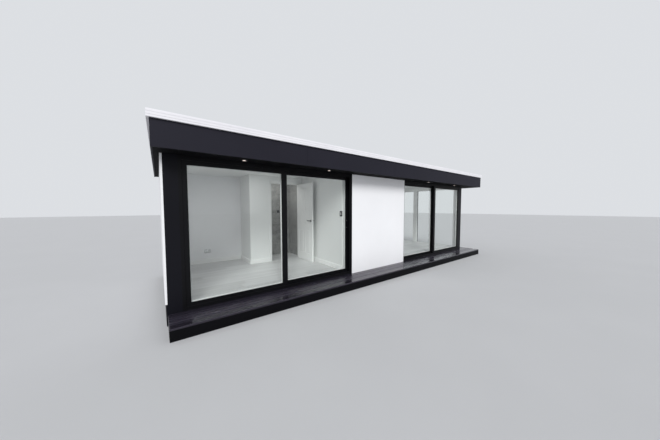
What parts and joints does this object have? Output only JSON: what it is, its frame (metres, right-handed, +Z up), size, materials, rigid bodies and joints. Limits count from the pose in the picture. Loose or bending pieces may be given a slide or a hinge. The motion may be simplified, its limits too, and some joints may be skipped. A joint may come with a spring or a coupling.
{
  "type": "garden office pod",
  "caption": "Long low flat-roofed garden room with two sliding glass door sets, a white centre panel, a dark deep fascia, a deck step and a small inner room with a hinged door.",
  "frame": {"origin": "middle of the whole object's footprint, at ground level", "axes": "+X along the length of the front, from the left end to the right end as seen from the front; the glazed front faces -Y; +Z up"},
  "size_m": [9.084, 3.336, 2.69],
  "materials": {
    "interior_white": "matt emulsion paint on plasterboard",
    "wall_white": "smooth white render",
    "white_render": "smooth white render",
    "black_cladding": "satin black",
    "timber": "sawn structural timber",
    "deck_composite": "smooth black composite",
    "frame_black": "black powder coat, white inside",
    "lamp": "warm white lens",
    "glass": "clear sealed unit",
    "fascia_grey": "satin charcoal board",
    "handle_metal": "dark satin metal",
    "steel": "satin steel",
    "floor_laminate": "pale grey laminate",
    "roof_rubber": "black roofing membrane",
    "trim_white": "white edge trim",
    "door_white": "white satin paint"
  },
  "bodies": {
    "root": {"ceiling": "interior_white", "corner_cladding": "black_cladding", "corner_post_left": "interior_white", "corner_post_right": "interior_white", "deck_boards": "deck_composite", "deck_joists": "timber", "deck_skirt": "deck_composite", "door_frame_left": "frame_black", "door_frame_right": "frame_black", "downlights": "lamp", "end_window_frame": "frame_black", "end_window_glass": "glass", "fascia_back": "fascia_grey", "fascia_front": "fascia_grey", "fascia_sides": "fascia_grey", "fixed_glass": "glass", "fixed_leaf_left": "frame_black", "fixed_leaf_right": "frame_black", "floor_bearers": "timber", "floor_panel": "timber", "front_header": "interior_white", "inner_floor": "floor_laminate", "partition_rooms": "interior_white", "partition_wc_front": "interior_white", "partition_wc_head": "interior_white", "partition_wc_side": "interior_white", "plinth_skirts": "black_cladding", "render_panel": "white_render", "roof_deck": "timber", "roof_joists": "timber", "roof_membrane": "roof_rubber", "roof_trim": "trim_white", "soffit_boards": "fascia_grey", "wall_back": "wall_white", "wall_end_back": "wall_white", "wall_end_head": "wall_white", "wall_front_centre": "interior_white", "wall_left": "wall_white", "wc_door_lining": "door_white"},
    "leaf_left": {"sliding_leaf_left": "frame_black", "sliding_glass_left": "glass", "handle_left": "handle_metal"},
    "leaf_right": {"sliding_leaf_right": "frame_black", "sliding_glass_right": "glass", "handle_right": "handle_metal"},
    "wc_door": {"wc_door_leaf": "door_white", "wc_door_hinges": "steel", "wc_door_handle": "handle_metal"}
  },
  "joints": [
    {"name": "door_left_slide", "type": "slide", "parent": "root", "child": "leaf_left", "axis": [-1, 0, 0], "range_m": [0, 1.35]},
    {"name": "door_right_slide", "type": "slide", "parent": "root", "child": "leaf_right", "axis": [1, 0, 0], "range_m": [0, 1.35]},
    {"name": "wc_door_swing", "type": "hinge", "parent": "root", "child": "wc_door", "pos_m": [-1.3835, 0.705, 1.2], "axis": [0, 0, -1], "range_deg": [0, 90]}
  ]
}
